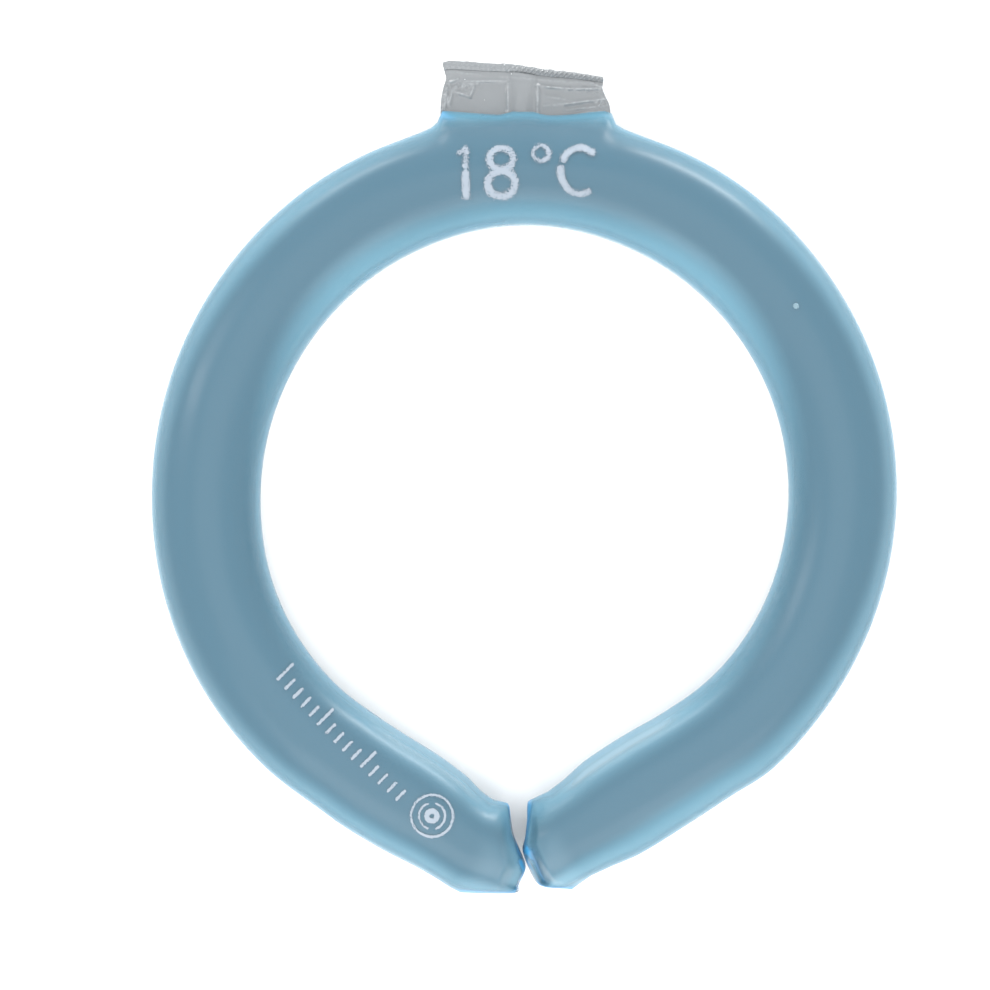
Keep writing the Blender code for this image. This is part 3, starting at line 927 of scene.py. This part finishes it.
def armMotif():
    # a plain tick scale along the left arm, then a round target where it ends
    strokes = []
    start, end = Vector((285, 672)), Vector((404, 792))
    run = (end - start).normalized()
    aside = Vector((-run.y, run.x))
    count = 15
    for k in range(count):
        bow = math.sin(math.pi * k / (count - 1)) * 3.5
        middle = start.lerp(end, k / (count - 1)) + aside * bow
        reach = 10.0 if k % 5 == 0 else 5.6
        foot = middle + aside * 10
        strokes.append(([tuple(foot), tuple(foot - aside * 2 * reach)], 3.2))
    strokes.append((arc(432, 816, 21, 21, 0, 360, 40), 2.8))
    strokes.append((arc(432, 816, 5.0, 5.0, 0, 360), 5.4))
    strokes.append((arc(432, 816, 13.0, 13.0, 20, 160), 2.4))
    strokes.append((arc(432, 816, 13.0, 13.0, 200, 340), 2.4))
    return strokes


def wornEdge(point, wear):
    # how far wear moves the edge of a stroke in or out
    size = ink["grainSize"]
    grain = noise.noise(Vector((point.x, point.y, 0.0)) / size)
    fine = noise.noise(Vector((point.x, point.y, 0.3)) / (size * 0.4))
    patch = noise.noise(Vector((point.x, point.y, 0.7)) / (size * 6))
    chip = noise.noise(Vector((point.x, point.y, 1.3)) / ink["chipSize"])
    worn = max(patch + 0.12, 0)
    chipped = max(chip - 0.12, 0) * (0.0012 + worn * 0.004)
    return (grain * 0.00016 + fine * 0.00095 - worn * 0.00022 - chipped) * wear


def inkField(low, columns, rows, lines, wear):
    # grid of levels, above zero inside the worn strokes
    cell = ink["cell"]
    field = [[-1.0] * (columns + 1) for j in range(rows + 1)]
    for spots, half in lines:
        reach = half + ink["reach"]
        for start, end in zip(spots, spots[1:]):
            first = (Vector((min(start.x, end.x) - reach, min(start.y, end.y) - reach)) - low) / cell
            last = (Vector((max(start.x, end.x) + reach, max(start.y, end.y) + reach)) - low) / cell
            for j in range(max(int(first.y), 0), min(int(last.y) + 2, rows + 1)):
                for i in range(max(int(first.x), 0), min(int(last.x) + 2, columns + 1)):
                    away = nearLine(low + Vector((i, j)) * cell, start, end)[0]
                    field[j][i] = max(field[j][i], half - away)
    for j in range(rows + 1):
        for i in range(columns + 1):
            if field[j][i] > -ink["reach"]:
                field[j][i] += wornEdge(low + Vector((i, j)) * cell, wear)
    return field


def layInk(name, strokes, wear):
    lines = [([fromPixel(*spot, rise=tube["halfHeight"]) for spot in spots], width * pixel / 2)
             for spots, width in strokes]
    spots = [spot for starts, half in lines for spot in starts]
    margin = Vector((ink["margin"], ink["margin"]))
    low = Vector((min(spot.x for spot in spots), min(spot.y for spot in spots))) - margin
    high = Vector((max(spot.x for spot in spots), max(spot.y for spot in spots))) + margin
    cell = ink["cell"]
    columns, rows = math.ceil((high.x - low.x) / cell), math.ceil((high.y - low.y) / cell)
    field = inkField(low, columns, rows, lines, wear)
    mesh = bmesh.new()
    made = {}

    def vertex(key):
        if key not in made:
            (i, j), (a, b) = key
            first, second = field[j][i], field[b][a]
            share = 0.0 if (i, j) == (a, b) else first / (first - second)
            point = low + Vector((mix(i, a, share), mix(j, b, share))) * cell
            height = onSkin(point)
            made[key] = (mesh.verts.new((point.x, point.y, height + ink["lift"])),
                         mesh.verts.new((point.x, point.y, height - ink["sink"])))
        return made[key]

    walls = {}
    for j in range(rows):
        for i in range(columns):
            corners = [(i, j), (i + 1, j), (i + 1, j + 1), (i, j + 1)]
            levels = [field[b][a] for a, b in corners]
            if max(levels) <= 0:
                continue
            keys = []
            for k in range(4):
                here, there = corners[k], corners[(k + 1) % 4]
                if levels[k] > 0:
                    keys.append((here, here))
                if (levels[k] > 0) != (levels[(k + 1) % 4] > 0):
                    keys.append((here, there) if here < there else (there, here))
            if len(keys) < 3:
                continue
            mesh.faces.new([vertex(key)[0] for key in keys])
            mesh.faces.new([vertex(key)[1] for key in reversed(keys)])
            for first, second in zip(keys, keys[1:] + keys[:1]):
                if (second, first) in walls:
                    del walls[(second, first)]
                else:
                    walls[(first, second)] = True
    for first, second in walls:
        mesh.faces.new((vertex(first)[0], vertex(first)[1], vertex(second)[1], vertex(second)[0]))
    bmesh.ops.recalc_face_normals(mesh, faces=mesh.faces)
    piece = makeObject(name, mesh, inkMaterial, smooth=False)
    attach(piece, "root")
    return piece


def makeInkMaterial():
    made, tree, shader = newMaterial("wornInk")
    chips = useGroup(tree, speckGroup, Spacing=0.0007, Dot_Size=0.26, Share=0.22)
    tone = mixColour(tree, chips.outputs["Mask"], ink["colour"], ink["chipColour"])
    tree.links.new(tone, shader.inputs["Base Color"])
    shader.inputs["Alpha"].default_value = ink["alpha"]
    shader.inputs["Roughness"].default_value = 0.55
    return made


inkMaterial = makeInkMaterial()
temperature = layInk("temperature_print", temperatureStrokes, wear=1.0)
armScale = layInk("arm_scale_print", armMotif(), wear=0.30)
print("print done:", len(temperature.data.polygons), "and", len(armScale.data.polygons), "faces")

# Floor, light and camera

stage = {
    "floorSize": 6.0,
    "floorColour": (0.93, 0.93, 0.93),
    "worldStrength": 1.5,
}


def makeFloor():
    mesh = bmesh.new()
    bmesh.ops.create_grid(mesh, x_segments=1, y_segments=1, size=stage["floorSize"] / 2)
    made, tree, shader = newMaterial("paleFloor")
    shader.inputs["Base Color"].default_value = (*stage["floorColour"], 1)
    shader.inputs["Roughness"].default_value = 0.9
    shader.inputs["Specular IOR Level"].default_value = 0.0
    floor = makeObject("floor", mesh, made, smooth=False)


def makeLight(name, place, target, size, power):
    data = bpy.data.lights.new(name, "AREA")
    data.shape = "RECTANGLE"
    data.size, data.size_y = size
    data.energy = power
    light = bpy.data.objects.new(name, data)
    light.location = place
    light.rotation_euler = (Vector(target) - Vector(place)).to_track_quat("-Z", "Y").to_euler()
    bpy.context.scene.collection.objects.link(light)


def makeWorld():
    world = bpy.data.worlds.new("softStudio")
    world.use_nodes = True
    sky = world.node_tree.nodes["Background"]
    sky.inputs["Color"].default_value = (1.0, 1.0, 1.0, 1.0)
    sky.inputs["Strength"].default_value = stage["worldStrength"]
    bpy.context.scene.world = world


def makeCamera():
    data = bpy.data.cameras.new("photoCamera")
    camera = bpy.data.objects.new("photoCamera", data)
    camera.location = (*cameraPlace, ringCentre.z + cameraHeight)
    data.lens = data.sensor_width * cameraHeight / (2 * middlePixel * pixel)
    data.clip_start = 0.01
    bpy.context.scene.collection.objects.link(camera)
    bpy.context.scene.camera = camera


makeFloor()
makeWorld()
makeLight("leftRearStrip", (-0.40, 0.75, 0.12), (0.0, -0.06, 0), (0.35, 0.08), 2.2)
makeLight("rightRearStrip", (0.40, 0.75, 0.12), (0.0, -0.06, 0), (0.35, 0.08), 4.0)
makeLight("throatSoftbox", (0.0, -0.66, 0.76), (0, 0, 0), (1.2, 0.60), 8.0)
makeLight("overheadSoftbox", (0.0, 0.0, 1.70), (0, 0, 0), (1.3, 1.3), 7.0)
makeLight("sideStrip", (-0.70, 0.25, 0.60), (0, 0.08, 0), (0.10, 0.40), 1.5)
makeCamera()
bpy.context.scene.view_settings.view_transform = "Standard"
print("stage ready")
